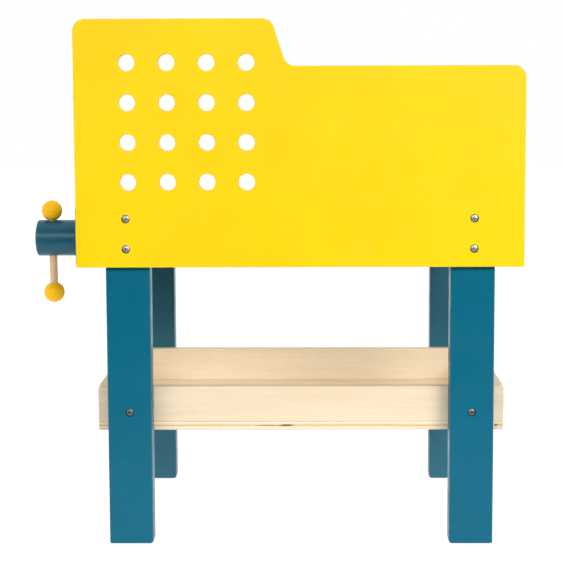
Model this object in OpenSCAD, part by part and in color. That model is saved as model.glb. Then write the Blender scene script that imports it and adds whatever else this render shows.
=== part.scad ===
// Toy workbench: a wooden bench on four legs with a tall perforated tool panel behind the
// worktop, a tool tray near the floor and a wooden screw vise at one end.
// Millimetres, +Z up. The floor is z = 0, the bench faces -Y and the vise is on the +X end.
// The origin is on the floor, below the middle of the whole bench with its vise closed.

/* [Tool panel] */
// Width of the panel
panel_w = 510; // [490:1:560]
// Thickness of the panel
panel_t = 12; // [10:0.5:15]
// Height of the panel's bottom edge above the floor
panel_bottom = 327; // [322:1:335]
// Height of the tall side of the panel above the floor
panel_top = 608; // [590:1:660]
// Height of the low side of the panel above the floor
panel_low_top = 555; // [535:1:575]
// Distance from the bench's middle to the foot of the step between the two heights
step_x = 14.8; // [5:0.1:25]
// Angle of the step's edge from the vertical
step_lean = 17.7; // [5:0.1:30]
// Radius of the panel's upper corners
panel_r = 14; // [8:0.5:18]

/* [Peg holes] */
// Diameter of a peg hole
peg_d = 19; // [14:0.5:22]
// Distance between neighbouring peg holes
peg_pitch = 45; // [40:1:46]
// Number of columns of peg holes
peg_cols = 4; // [1:1:4]
// Number of rows of peg holes
peg_rows = 4; // [1:1:4]
// Distance from the bench's middle to the outer column
peg_x = 195; // [180:1:205]
// Height of the top row above the floor
peg_z = 559; // [550:1:565]

/* [Legs and aprons] */
// Depth of the leg frame, front to back
frame_d = 302; // [280:1:340]
// Distance from the bench's middle to the middle of a leg
leg_x = 198; // [185:1:205]
// Width of a leg
leg_w = 51; // [44:1:54]
// Thickness of a leg
leg_t = 24; // [18:1:28]
// Radius on the long edges of a leg
leg_edge_r = 2.5; // [1:0.5:4]
// Thickness of an apron board
apron_t = 18; // [14:1:20]
// Height of an apron board
apron_h = 60; // [54:1:66]

/* [Worktop] */
// Width of the worktop
worktop_w = 500; // [480:1:520]
// Thickness of the worktop
worktop_t = 15; // [14:0.5:18]
// Height of the working surface above the floor
worktop_top = 390; // [386:1:396]
// How far the worktop reaches past the front legs
worktop_lip = 10; // [2:1:30]

/* [Tray] */
// Length of the tray
tray_w = 476; // [450:1:500]
// Height of the tray's underside above the floor
tray_z = 130; // [90:1:160]
// Height of the tray
tray_h = 52; // [44:1:70]
// Thickness of the boards round the tray
tray_board = 11; // [9:0.5:14]
// Thickness of the tray's base
tray_base_t = 10; // [6:0.5:12]

/* [Vise] */
// Distance of the vise screw in front of the panel's rear face
vise_set_back = 130; // [115:1:150]
// Height of the vise screw above the floor
vise_z = 348; // [345:1:351]
// Width of the two vise jaws
jaw_w = 110; // [100:1:120]
// Thickness of the moving jaw
jaw_t = 18; // [16:0.5:24]
// Height of the moving jaw
jaw_h = 71; // [68:1:74]
// Diameter of the turning head
head_d = 44; // [40:1:50]
// Length of the turning head, its domed end included
head_len = 57; // [50:1:66]
// Outer diameter of the wooden screw thread
thread_d = 28; // [26:0.5:30]
// Distance that the jaw moves in one turn
thread_pitch = 8; // [7:0.5:9]
// Widest opening of the jaws
vise_travel = 48; // [20:1:48]
// Diameter of the handle bar
bar_d = 9.5; // [8:0.5:11]
// How far the loose bar leans outwards, in degrees
bar_lean = 0.6; // [0:0.1:0.6]
// Distance between the middles of the two balls on the bar
ball_gap = 101; // [90:1:130]
// Diameter of a ball
ball_d = 25; // [20:0.5:28]

/* [Hidden] */
$fn = 64;

// A cut runs this far past the face that it opens
past = 1;
// Sides, left and right
sides = [-1, 1];
// Straight pieces along a quarter of a round corner
corner_steps = 8;

// Depths, from the rear face of the panel to the front edge of the worktop
rear_y = (panel_t + frame_d + worktop_lip) / 2;
frame_back_y = rear_y - panel_t;
frame_front_y = frame_back_y - frame_d;
tray_back_y = frame_back_y - leg_t;
tray_front_y = frame_front_y + leg_t;
tray_d = tray_back_y - tray_front_y;
front_leg_mid_y = frame_front_y + leg_t / 2;
rear_leg_mid_y = frame_back_y - leg_t / 2;

// Heights
leg_top = worktop_top - worktop_t;
apron_z = leg_top - apron_h;
rail_z = tray_z + tray_base_t;
rail_h = tray_h - tray_base_t;

// Radii of rounded corners
worktop_r = 6;
worktop_back_r = 1;
rail_r = 3;
rail_foot_r = 0.5;
leg_top_r = 1;
foot_inner_r = 4;
foot_outer_r = 2;

// Countersunk and cylinder-headed screws: head diameter, head height, shank diameter
frame_screw = [8.6, 3, 5];
frame_screw_len = 60;
tray_screw = [8.6, 3, 4.5];
tray_screw_len = 30;
small_screw = [6, 2, 3];
base_screw_len = 26;
base_screw_x = 150;
block_screw_len = 30;
screw_recess = 0.5;
bore_rim = 0.4;
cross_w = 1.2;
cross_l = 5;
cross_depth = 1.6;

// Panel screws enter the edge of the worktop and, below it, the side aprons
panel_screw_zs = [leg_top + worktop_t / 2, vise_z];
tray_screw_z = tray_z + tray_h / 2;

// Dowels
dowel_d = 8;
dowel_into_top = 10;
dowel_into_leg = 20;
leg_dowel_offset = 14;
apron_dowel_reach = 18;
apron_dowel_rises = [10, 28];

// Vise, along X from the fixed jaw face to the outer end of the head
vise_y = rear_y - vise_set_back;
jaw_gap = 0.5;
jaw_face_x = worktop_w / 2;
jaw_x = jaw_face_x + jaw_gap;
head_gap = 0.3;
head_x = jaw_x + jaw_t + head_gap;
block_x = leg_x + apron_t / 2;
block_t = jaw_face_x - block_x;
jaw_z = worktop_top - jaw_h;
block_h = leg_top - jaw_z;
head_dome = 3;
head_edge_r = 2;
head_chamfer = 1;
tenon_d = 20;
tenon_len = 26;
screw_tail = 10;
screw_inner_x = block_x - vise_travel - screw_tail;
screw_apron_gap = 1;
guide_d = 10;
guide_offset = 34;
guide_tail = 14;
guide_inner_x = block_x - vise_travel - guide_tail;
guide_into_jaw = 12;
guide_gap = 0.15;
guide_apron_gap = 0.5;
neck_gap = 0.2;
groove_d = 20;
groove_w = 4.4;
pin_d = 4;
pin_gap = 0.2;
pin_recess = 2;
pin_len = 58;
pin_offset = groove_d / 2 + pin_gap + pin_d / 2;
jaw_r = 3;
block_screw_offset = 47;
block_screw_edge = 13;
block_screw_zs = [jaw_z + block_screw_edge, leg_top - block_screw_edge];

// Thread profile
thread_depth = 2.75;
thread_root_w = 5.6;
thread_crest_w = 1.6;
thread_gap = 0.35;
thread_steps = 24;
thread_embed = 0.6;

// Handle bar
bar_from_end = 20.5;
bar_x = head_x + head_len - bar_from_end;
bar_gap = 0.4;
ball_seat = 0.8;
upper_ball_h = head_d / 2 + ball_d / 2 - ball_seat;
lower_ball_h = upper_ball_h - ball_gap;
ball_bore_end = 3;

// The vise makes the bench longer on one side, so the origin moves that way
vise_reach = head_x + head_len;
bench_x = -(vise_reach - panel_w / 2) / 2;

// Points along an arc about c, from angle a0 to angle a1
function arc(c, r, a0, a1) =
    [for (i = [0:corner_steps]) c + r * [cos(a0 + (a1 - a0) * i / corner_steps),
                                         sin(a0 + (a1 - a0) * i / corner_steps)]];

// Closed outline of a w by h rectangle with its corner at the origin and four corner radii,
// counter-clockwise from the lower left
function rounded_rect(w, h, r) = concat(
    arc([r[0], r[0]], r[0], 180, 270),
    arc([w - r[1], r[1]], r[1], 270, 360),
    arc([w - r[2], h - r[2]], r[2], 0, 90),
    arc([r[3], h - r[3]], r[3], 90, 180));

// Outline of the panel in X and Z, with its step
function panel_outline() = let(
    rise = panel_top - panel_low_top,
    head_step_x = step_x + rise * tan(step_lean),
    reach = panel_r * tan((90 - step_lean) / 2),
    foot = [step_x - reach, panel_low_top + panel_r],
    brow = [head_step_x + reach, panel_top - panel_r])
    concat(
        [[-panel_w / 2, panel_bottom], [panel_w / 2, panel_bottom]],
        arc([panel_w / 2 - panel_r, panel_top - panel_r], panel_r, 0, 90),
        arc(brow, panel_r, 90, 180 - step_lean),
        arc(foot, panel_r, -step_lean, -90),
        arc([-panel_w / 2 + panel_r, panel_low_top - panel_r], panel_r, 90, 180));

// Half section of the head as radius and length: a cylinder with a domed, softly rounded end
function head_profile() = let(
    r = head_d / 2,
    shoulder = head_len - head_dome - head_edge_r,
    flat_r = r - head_edge_r)
    concat(
        [[0, 0], [r - head_chamfer, 0], [r, head_chamfer], [r, shoulder]],
        [for (i = [1:corner_steps]) let(a = 90 * i / corner_steps)
            [flat_r + head_edge_r * cos(a), shoulder + head_edge_r * sin(a)]],
        [for (i = [1:corner_steps]) let(t = i / corner_steps)
            [flat_r * (1 - t), head_len - head_dome * pow(1 - t, 2)]]);

// Moves a piece from the bench's own middle plane to the origin's place
module in_bench() {
    translate([bench_x, 0, 0]) children();
}

module rod_x(x0, x1, y, z, d) {
    translate([x0, y, z]) rotate([0, 90, 0]) cylinder(d = d, h = x1 - x0);
}

module rod_y(y0, y1, x, z, d) {
    translate([x, y1, z]) rotate([90, 0, 0]) cylinder(d = d, h = y1 - y0);
}

module rod_z(z0, z1, x, y, d) {
    translate([x, y, z0]) cylinder(d = d, h = z1 - z0);
}

// A flat outline in X and Z, made solid from y0 to y1
module slab_y(y0, y1, outline) {
    translate([0, y1, 0]) rotate([90, 0, 0]) linear_extrude(y1 - y0) polygon(outline);
}

// A screw along +Z with the top of its head at the origin: kind is its head diameter,
// head height and shank diameter
module screw(kind, len) {
    difference() {
        union() {
            translate([0, 0, -kind[1]]) cylinder(d = kind[0], h = kind[1]);
            translate([0, 0, -len]) cylinder(d = kind[2], h = len - kind[1]);
        }
        for (turn = [0, 90]) rotate(turn)
            translate([-cross_l / 2, -cross_w / 2, -cross_depth])
                cube([cross_l, cross_w, cross_depth + past]);
    }
}

// The hole for such a screw, with a counterbore that leaves a narrow rim round the head
module screw_hole(kind, len) {
    translate([0, 0, -kind[1]])
        cylinder(d = kind[0] + 2 * bore_rim, h = kind[1] + screw_recess + past);
    translate([0, 0, -len]) cylinder(d = kind[2], h = len);
}

// Places its children on a rear face, pointing forward into it
module on_rear(x, y, z) {
    translate([x, y - screw_recess, z]) rotate([-90, 0, 0]) children();
}

// Places its children on a front face, pointing back into it
module on_front(x, y, z) {
    translate([x, y + screw_recess, z]) rotate([90, 0, 0]) children();
}

// Places its children on an underside, pointing up into it
module on_underside(x, y, z) {
    translate([x, y, z + screw_recess]) rotate([180, 0, 0]) children();
}

module at_panel_screws() {
    for (side = sides, z = panel_screw_zs) on_rear(side * leg_x, rear_y, z) children();
}

module at_front_leg_screws() {
    for (side = sides) on_front(side * leg_x, frame_front_y, vise_z) children();
}

module at_tray_screws() {
    for (side = sides) {
        on_rear(side * leg_x, frame_back_y, tray_screw_z) children();
        on_front(side * leg_x, frame_front_y, tray_screw_z) children();
    }
}

module at_base_screws() {
    for (x = [-base_screw_x, 0, base_screw_x]) {
        on_underside(x, tray_back_y - tray_board / 2, tray_z) children();
        on_underside(x, tray_front_y + tray_board / 2, tray_z) children();
    }
    for (side = sides)
        on_underside(side * (tray_w - tray_board) / 2, (tray_back_y + tray_front_y) / 2, tray_z)
            children();
}

// Screws from inside the right side apron into the vise block
module at_block_screws() {
    for (side = sides, z = block_screw_zs)
        translate([block_x - apron_t + screw_recess, vise_y + side * block_screw_offset, z])
            rotate([0, -90, 0]) children();
}

module at_worktop_dowels() {
    for (side = sides, y = [front_leg_mid_y, rear_leg_mid_y], offset = sides)
        translate([side * leg_x + offset * leg_dowel_offset, y, leg_top]) children();
}

module worktop_dowel() {
    translate([0, 0, -dowel_into_leg]) cylinder(d = dowel_d, h = dowel_into_leg + dowel_into_top);
}

module front_apron_dowels_solid() {
    inner = leg_x - leg_w / 2;
    for (side = sides, rise = apron_dowel_rises)
        rod_x(side * inner - apron_dowel_reach, side * inner + apron_dowel_reach,
              front_leg_mid_y, apron_z + rise, dowel_d);
}

module guide_rods_solid(d) {
    for (side = sides)
        rod_x(guide_inner_x, jaw_x + guide_into_jaw, vise_y + side * guide_offset, vise_z, d);
}

// The two pins that keep the vise screw in the jaw, one on each side of its groove
module retaining_pins_solid() {
    for (side = sides)
        rod_z(jaw_z + pin_recess, jaw_z + pin_recess + pin_len,
              jaw_x + jaw_t / 2, vise_y + side * pin_offset, pin_d);
}

// A helical ridge about the X axis from x = 0: it turns right-handed and grows by gap
module thread_ridge(length, gap) {
    root_r = thread_d / 2 - thread_depth + gap;
    crest_r = thread_d / 2 + gap;
    half_root = thread_root_w / 2 + gap;
    half_crest = thread_crest_w / 2 + gap;
    profile = [[root_r - thread_embed, -half_root], [crest_r, -half_crest],
               [crest_r, half_crest], [root_r - thread_embed, half_root]];
    corners = len(profile);
    rings = ceil(length / thread_pitch * thread_steps);
    points = [for (i = [0:rings], p = profile) let(a = 360 * i / thread_steps)
        [i * thread_pitch / thread_steps + p[1], p[0] * cos(a), p[0] * sin(a)]];
    walls = [for (i = [0:rings - 1], k = [0:corners - 1], half = [0, 1])
        let(a = i * corners + k, b = i * corners + (k + 1) % corners)
        half == 0 ? [a, b, b + corners] : [a, b + corners, a + corners]];
    last = rings * corners;
    polyhedron(points = points, faces = concat(walls,
        [[0, 2, 1], [0, 3, 2], [last, last + 1, last + 2], [last, last + 2, last + 3]]));
}

module back_panel() {
    color("gold") in_bench() difference() {
        slab_y(frame_back_y, rear_y, panel_outline());
        for (col = [0:peg_cols - 1], row = [0:peg_rows - 1])
            rod_y(frame_back_y - past, rear_y + past,
                  peg_x - col * peg_pitch, peg_z - row * peg_pitch, peg_d);
        at_panel_screws() screw_hole(frame_screw, frame_screw_len);
    }
}

// A leg on one side of the bench, with a rounder inner corner at its foot
module leg(side, y0) {
    foot = side > 0 ? [foot_inner_r, foot_outer_r] : [foot_outer_r, foot_inner_r];
    color("darkslategray") in_bench() difference() {
        translate([side * leg_x - leg_w / 2, 0, 0]) intersection() {
            translate([0, y0, 0]) linear_extrude(leg_top)
                polygon(rounded_rect(leg_w, leg_t, [for (i = [0:3]) leg_edge_r]));
            slab_y(y0 - past, y0 + leg_t + past,
                   rounded_rect(leg_w, leg_top + past, [foot[0], foot[1], leg_top_r, leg_top_r]));
        }
        at_panel_screws() screw_hole(frame_screw, frame_screw_len);
        at_front_leg_screws() screw_hole(frame_screw, frame_screw_len);
        at_tray_screws() screw_hole(tray_screw, tray_screw_len);
        at_worktop_dowels() worktop_dowel();
        front_apron_dowels_solid();
    }
}

module rear_leg_left() {
    leg(-1, frame_back_y - leg_t);
}

module rear_leg_right() {
    leg(1, frame_back_y - leg_t);
}

module front_leg_left() {
    leg(-1, frame_front_y);
}

module front_leg_right() {
    leg(1, frame_front_y);
}

module worktop() {
    depth = frame_back_y - frame_front_y + worktop_lip;
    color("burlywood") in_bench() difference() {
        translate([-worktop_w / 2, frame_front_y - worktop_lip, leg_top])
            linear_extrude(worktop_t)
                polygon(rounded_rect(worktop_w, depth,
                                     [worktop_r, worktop_r, worktop_back_r, worktop_back_r]));
        at_panel_screws() screw_hole(frame_screw, frame_screw_len);
        at_worktop_dowels() worktop_dowel();
    }
}

module front_apron() {
    inner = leg_x - leg_w / 2;
    color("darkslategray") in_bench() difference() {
        translate([-inner, front_leg_mid_y - apron_t / 2, apron_z])
            cube([2 * inner, apron_t, apron_h]);
        front_apron_dowels_solid();
    }
}

// The side apron on one side: the right one lets the vise through
module side_apron(side) {
    color("darkslategray") in_bench() difference() {
        translate([side * leg_x - apron_t / 2, tray_front_y, apron_z])
            cube([apron_t, tray_d, apron_h]);
        at_panel_screws() screw_hole(frame_screw, frame_screw_len);
        at_front_leg_screws() screw_hole(frame_screw, frame_screw_len);
        if (side > 0) {
            rod_x(block_x - apron_t - past, block_x + past, vise_y, vise_z,
                  thread_d + 2 * screw_apron_gap);
            guide_rods_solid(guide_d + 2 * guide_apron_gap);
            at_block_screws() screw_hole(small_screw, block_screw_len);
        }
    }
}

module side_apron_left() {
    side_apron(-1);
}

module side_apron_right() {
    side_apron(1);
}

// A long board of the tray, the length of the tray, with rounded upper corners
module tray_rail(y0) {
    color("wheat") in_bench() difference() {
        translate([-tray_w / 2, 0, rail_z])
            slab_y(y0, y0 + tray_board,
                   rounded_rect(tray_w, rail_h, [rail_foot_r, rail_foot_r, rail_r, rail_r]));
        at_tray_screws() screw_hole(tray_screw, tray_screw_len);
        at_base_screws() screw_hole(small_screw, base_screw_len);
    }
}

module tray_rear_rail() {
    tray_rail(tray_back_y - tray_board);
}

module tray_front_rail() {
    tray_rail(tray_front_y);
}

// A short board of the tray, between the long ones
module tray_end(side) {
    color("wheat") in_bench() difference() {
        translate([side * (tray_w - tray_board) / 2 - tray_board / 2,
                   tray_front_y + tray_board, rail_z])
            cube([tray_board, tray_d - 2 * tray_board, rail_h]);
        at_base_screws() screw_hole(small_screw, base_screw_len);
    }
}

module tray_end_left() {
    tray_end(-1);
}

module tray_end_right() {
    tray_end(1);
}

module tray_base() {
    color("wheat") in_bench() difference() {
        translate([-tray_w / 2, tray_front_y, tray_z]) cube([tray_w, tray_d, tray_base_t]);
        at_base_screws() screw_hole(small_screw, base_screw_len);
    }
}

module panel_screws() {
    color("silver") in_bench() at_panel_screws() screw(frame_screw, frame_screw_len);
}

module front_leg_screws() {
    color("silver") in_bench() at_front_leg_screws() screw(frame_screw, frame_screw_len);
}

module tray_screws() {
    color("silver") in_bench() at_tray_screws() screw(tray_screw, tray_screw_len);
}

module tray_base_screws() {
    color("silver") in_bench() at_base_screws() screw(small_screw, base_screw_len);
}

module worktop_dowels() {
    color("tan") in_bench() at_worktop_dowels() worktop_dowel();
}

module front_apron_dowels() {
    color("tan") in_bench() front_apron_dowels_solid();
}

// The fixed jaw: a tapped block under the end of the worktop
module vise_block() {
    color("wheat") in_bench() difference() {
        translate([block_x, vise_y - jaw_w / 2, jaw_z]) cube([block_t, jaw_w, block_h]);
        rod_x(block_x - past, jaw_face_x + past, vise_y, vise_z,
              thread_d - 2 * thread_depth + 2 * thread_gap);
        translate([screw_inner_x, vise_y, vise_z])
            thread_ridge(jaw_face_x - screw_inner_x + thread_pitch, thread_gap);
        guide_rods_solid(guide_d + 2 * guide_gap);
        at_block_screws() screw_hole(small_screw, block_screw_len);
    }
}

module vise_block_screws() {
    color("silver") in_bench() at_block_screws() screw(small_screw, block_screw_len);
}

module vise_jaw() {
    color("darkcyan") in_bench() difference() {
        translate([jaw_x, vise_y - jaw_w / 2, jaw_z]) rotate([90, 0, 90]) linear_extrude(jaw_t)
            polygon(rounded_rect(jaw_w, jaw_h, [jaw_r, jaw_r, jaw_r, jaw_r]));
        rod_x(jaw_x - past, jaw_x + jaw_t + past, vise_y, vise_z, thread_d + 2 * neck_gap);
        guide_rods_solid(guide_d);
        retaining_pins_solid();
        for (side = sides)
            rod_z(jaw_z - past, jaw_z + pin_recess, jaw_x + jaw_t / 2,
                  vise_y + side * pin_offset, pin_d);
    }
}

module jaw_guide_rods() {
    color("tan") in_bench() guide_rods_solid(guide_d);
}

module screw_retaining_pins() {
    color("silver") in_bench() retaining_pins_solid();
}

// The wooden screw: thread, smooth neck with its groove, and the tenon inside the head
module vise_screw() {
    core_d = thread_d - 2 * thread_depth;
    mid_x = jaw_x + jaw_t / 2;
    color("burlywood") in_bench() translate([0, vise_y, vise_z]) {
        rod_x(screw_inner_x, jaw_x, 0, 0, core_d);
        translate([screw_inner_x + thread_pitch, 0, 0])
            thread_ridge(jaw_x - screw_inner_x - 2 * thread_pitch, 0);
        rod_x(jaw_x, mid_x - groove_w / 2, 0, 0, thread_d);
        rod_x(mid_x - groove_w / 2, mid_x + groove_w / 2, 0, 0, groove_d);
        rod_x(mid_x + groove_w / 2, head_x, 0, 0, thread_d);
        rod_x(head_x, head_x + tenon_len, 0, 0, tenon_d);
    }
}

// The turning head: a short cylinder with a slightly domed outer end
module vise_head() {
    color("darkcyan") in_bench() translate([head_x, vise_y, vise_z]) difference() {
        rotate([0, 90, 0]) rotate_extrude() polygon(head_profile());
        translate([-past, 0, 0]) rotate([0, 90, 0]) cylinder(d = tenon_d, h = tenon_len + past);
        translate([bar_x - head_x, 0, -head_d]) cylinder(d = bar_d + 2 * bar_gap, h = 2 * head_d);
    }
}

// Places its children about the point where the bar crosses the vise screw, leaning with the bar
module on_bar() {
    in_bench() translate([bar_x, vise_y, vise_z]) rotate([0, bar_lean, 0]) children();
}

module handle_bar() {
    color("burlywood") on_bar()
        rod_z(lower_ball_h - ball_bore_end, upper_ball_h + ball_bore_end, 0, 0, bar_d);
}

// A ball glued on the bar's end, with the blind hole that takes it: up is 1 or -1
module bar_ball(h, up) {
    color("orange") on_bar() translate([0, 0, h]) difference() {
        sphere(d = ball_d);
        rod_z(up > 0 ? -ball_d : -ball_bore_end, up > 0 ? ball_bore_end : ball_d, 0, 0, bar_d);
    }
}

module upper_ball() {
    bar_ball(upper_ball_h, 1);
}

module lower_ball() {
    bar_ball(lower_ball_h, -1);
}

back_panel();
rear_leg_left();
rear_leg_right();
front_leg_left();
front_leg_right();
worktop();
front_apron();
side_apron_left();
side_apron_right();
tray_rear_rail();
tray_front_rail();
tray_end_left();
tray_end_right();
tray_base();
panel_screws();
front_leg_screws();
tray_screws();
tray_base_screws();
worktop_dowels();
front_apron_dowels();
vise_block();
vise_block_screws();
vise_jaw();
jaw_guide_rods();
screw_retaining_pins();
vise_screw();
vise_head();
handle_bar();
upper_ball();
lower_ball();
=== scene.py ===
"""Toy workbench: the looks of every piece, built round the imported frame.

Metres, in the frame's own axes: +Z up, the bench faces -Y and its vise is on the +X end.
"""

import math
from collections import namedtuple

import bmesh
import bpy
from mathutils import Matrix, Vector


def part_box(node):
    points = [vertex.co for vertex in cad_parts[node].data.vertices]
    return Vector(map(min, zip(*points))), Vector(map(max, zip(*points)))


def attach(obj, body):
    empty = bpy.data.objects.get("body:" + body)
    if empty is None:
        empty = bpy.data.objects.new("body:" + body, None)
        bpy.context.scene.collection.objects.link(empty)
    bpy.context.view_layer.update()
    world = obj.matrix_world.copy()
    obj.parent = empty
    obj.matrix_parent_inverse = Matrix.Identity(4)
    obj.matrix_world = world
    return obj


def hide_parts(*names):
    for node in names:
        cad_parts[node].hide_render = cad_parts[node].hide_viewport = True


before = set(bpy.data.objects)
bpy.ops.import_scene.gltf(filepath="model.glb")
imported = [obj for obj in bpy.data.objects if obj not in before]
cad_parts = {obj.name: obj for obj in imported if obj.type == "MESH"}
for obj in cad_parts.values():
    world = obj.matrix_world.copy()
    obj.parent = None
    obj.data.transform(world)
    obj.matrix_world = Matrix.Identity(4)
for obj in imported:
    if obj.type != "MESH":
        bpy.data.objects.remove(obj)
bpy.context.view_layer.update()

MM = 0.001
QUARTER = math.pi / 2
SIDES = (-1, 1)


# ---- Places taken from the frame ----

def span(node, axis):
    """Lowest and highest coordinate of a CAD node along one axis: 0 is X, 1 is Y, 2 is Z."""
    low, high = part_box(node)
    return low[axis], high[axis]


def middle(node, axis):
    """The coordinate halfway through a CAD node along one axis."""
    return sum(span(node, axis)) / 2


BENCH_X = middle("back_panel", 0)
LEG_REACH = middle("rear_leg_right", 0) - BENCH_X
PANEL_REAR_Y = span("back_panel", 1)[1]
LEG_REAR_Y = span("rear_leg_right", 1)[1]
LEG_FRONT_Y = span("front_leg_right", 1)[0]
WORKTOP_MID_Z = middle("worktop", 2)
TRAY_LOW = span("tray_base", 2)[0]
TRAY_MID_Z = (TRAY_LOW + span("tray_rear_rail", 2)[1]) / 2
APRON_INNER_X = span("side_apron_right", 0)[0]
VISE_Y = middle("vise_head", 1)
VISE_Z = middle("vise_head", 2)
LOWER_SCREW_Z = VISE_Z
BLOCK_X, BLOCK_OUTER_X = span("vise_block", 0)
JAW_X, JAW_OUTER_X = span("vise_jaw", 0)
HEAD_X, HEAD_END_X = span("vise_head", 0)
HEAD_R = (span("vise_head", 1)[1] - span("vise_head", 1)[0]) / 2
SCREW_X, TENON_END_X = span("vise_screw", 0)

# ---- Sizes that the nodes' boxes don't give, as in the CAD model ----

PANEL_LOW_TOP = 555 * MM
PANEL_R = 14 * MM
STEP_X = 14.8 * MM
STEP_LEAN = math.radians(17.7)
PEG_R = 9.5 * MM
PEG_PITCH = 45 * MM
PEG_COUNT = 4
PEG_REACH = 195 * MM
PEG_TOP_Z = 559 * MM
PANEL_RIM = 1 * MM
APRON_RIM = 1 * MM
LEG_EDGE = 2.5 * MM
FOOT_INNER_R = 4 * MM
TRAY_RIM = 0.8 * MM
RAIL_R = 3 * MM
BASE_RIM = 0.6 * MM
BASE_R = 1 * MM
WORKTOP_RIM = 2 * MM
WORKTOP_R = 6 * MM
BLOCK_RIM = 1.5 * MM
JAW_RIM = 2 * MM
JAW_R = 3 * MM

Screw = namedtuple("Screw", "head_r head_h shank_r length")
FRAME_SCREW = Screw(4.3 * MM, 3 * MM, 2.5 * MM, 60 * MM)
TRAY_SCREW = Screw(4.3 * MM, 3 * MM, 2.25 * MM, 30 * MM)
BASE_SCREW = Screw(3 * MM, 2 * MM, 1.5 * MM, 26 * MM)
BLOCK_SCREW = Screw(3 * MM, 2 * MM, 1.5 * MM, 30 * MM)
SCREW_RECESS = 0.5 * MM
SCREW_TWIST = 37  # degrees, from each screw to the next
POINT_LENGTH = 3  # shank radii
RECESS_REACH, RECESS_DEPTH = 0.5, 0.35  # head radii
RECESS_TAPER = 0.45  # the bottom's share of the top's reach
DOME_STEPS = 6
BORE_RIM = 0.4 * MM
BORE_EASE = 0.1 * MM
BASE_SCREW_XS = (-150 * MM, 0, 150 * MM)
BLOCK_SCREW_REACH = 47 * MM
BLOCK_SCREW_INSET = 13 * MM

THREAD_R = 14 * MM
THREAD_DEPTH = 2.75 * MM
THREAD_PITCH = 8 * MM
THREAD_HALF_ROOT = 2.8 * MM
THREAD_HALF_CREST = 0.8 * MM
THREAD_GAP = 0.35 * MM
THREAD_RINGS = 14
SCREW_CORNER = 1.5 * MM
TENON_CORNER = 1 * MM
NECK_GAP = 0.2 * MM
GROOVE_R = 10 * MM
GROOVE_W = 4.4 * MM
TENON_R = 10 * MM
GUIDE_R = 5 * MM
GUIDE_GAP = 0.15 * MM
GUIDE_HOLE_R = 5.5 * MM
GUIDE_REACH = 34 * MM
SCREW_CLEARANCE_R = 15 * MM
PIN_R = 2 * MM
PIN_EASE = 0.4 * MM
HEAD_DOME = 3 * MM
HEAD_CORNER = 2 * MM
HEAD_DOME_STEPS = 8
CUT_MARGIN = 2 * MM

BAR_X = HEAD_END_X - 20.5 * MM
BAR_LEAN = math.radians(0.6)
BAR_R = 4.75 * MM
BAR_HOLE_R = 5.15 * MM
BAR_INTO_BALL = 3 * MM
BAR_HOLE_FLARE = 1.2 * MM
BALL_R = 12.5 * MM
BALL_HOLE_EASE = 0.7 * MM
BALL_HEIGHTS = {"upper_ball": 33.7 * MM, "lower_ball": -67.3 * MM}


# ---- Camera, stage and light ----

def add_camera():
    """A long lens behind the bench, level with the panel and tilted slightly down."""
    data = bpy.data.cameras.new("camera")
    data.sensor_width = 36
    data.lens = 89.5
    data.shift_x, data.shift_y = -0.0329, -0.1004
    data.clip_end = 100
    camera = bpy.data.objects.new("camera", data)
    aside, distance, height = -0.01454, 1.5807, 0.5254
    heading, downward, roll = 180.521, 5.421, -0.184
    placed = Matrix.Translation((BENCH_X + aside, PANEL_REAR_Y + distance, height))
    for angle, axis in ((heading, "Z"), (90 - downward, "X"), (roll, "Z")):
        placed = placed @ Matrix.Rotation(math.radians(angle), 4, axis)
    camera.matrix_world = placed
    bpy.context.collection.objects.link(camera)
    bpy.context.scene.camera = camera


def add_floor():
    """White studio paper, lit from below as well, so that the bench's shadow on it stays light."""
    mesh = bpy.data.meshes.new("floor")
    left, right, front, rear = -6, 6, -8, 0.7
    grey, glow = 0.3, 0.84
    mesh.from_pydata([(left, front, 0), (right, front, 0), (right, rear, 0), (left, rear, 0)],
                     [], [(0, 1, 2, 3)])
    floor = bpy.data.objects.new("floor", mesh)
    bpy.context.collection.objects.link(floor)
    look = Look("floor_paper")
    look.set(Base_Color=(grey, grey, grey, 1), Roughness=1.0, Specular_IOR_Level=0.0,
             Emission_Color=(1, 1, 1, 1), Emission_Strength=glow)
    mesh.materials.append(look.material)


def add_softbox(name, place, aim, width, height, watts):
    """A rectangular area light at a place, facing the point that it is aimed at."""
    data = bpy.data.lights.new(name, "AREA")
    data.shape = "RECTANGLE"
    data.size, data.size_y = width, height
    data.energy = watts
    light = bpy.data.objects.new(name, data)
    light.location = place
    light.rotation_euler = (Vector(aim) - Vector(place)).to_track_quat("-Z", "Y").to_euler()
    bpy.context.collection.objects.link(light)


def add_world():
    """A white studio, plain white to the eye, whose light fades towards its rear wall, +Y."""
    fade_start, fade_end, bright, dim = 0.1, 0.75, 1.0, 0.05
    world = bpy.data.worlds.new("studio")
    bpy.context.scene.world = world
    world.use_nodes = True
    nodes, links = world.node_tree.nodes, world.node_tree.links
    direction = nodes.new("ShaderNodeTexCoord")
    split = nodes.new("ShaderNodeSeparateXYZ")
    wall = nodes.new("ShaderNodeMapRange")
    wall.interpolation_type = "SMOOTHSTEP"
    for socket, value in zip(wall.inputs[1:5], (fade_start, fade_end, bright, dim)):
        socket.default_value = value
    eye = nodes.new("ShaderNodeLightPath")
    pick = nodes.new("ShaderNodeMix")
    pick.inputs[3].default_value = 1.0
    links.new(direction.outputs["Generated"], split.inputs[0])
    links.new(split.outputs["Y"], wall.inputs[0])
    links.new(eye.outputs["Is Camera Ray"], pick.inputs[0])
    links.new(wall.outputs[0], pick.inputs[2])
    background = nodes["Background"]
    background.inputs["Color"].default_value = (1, 1, 1, 1)
    links.new(pick.outputs[0], background.inputs["Strength"])


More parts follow.
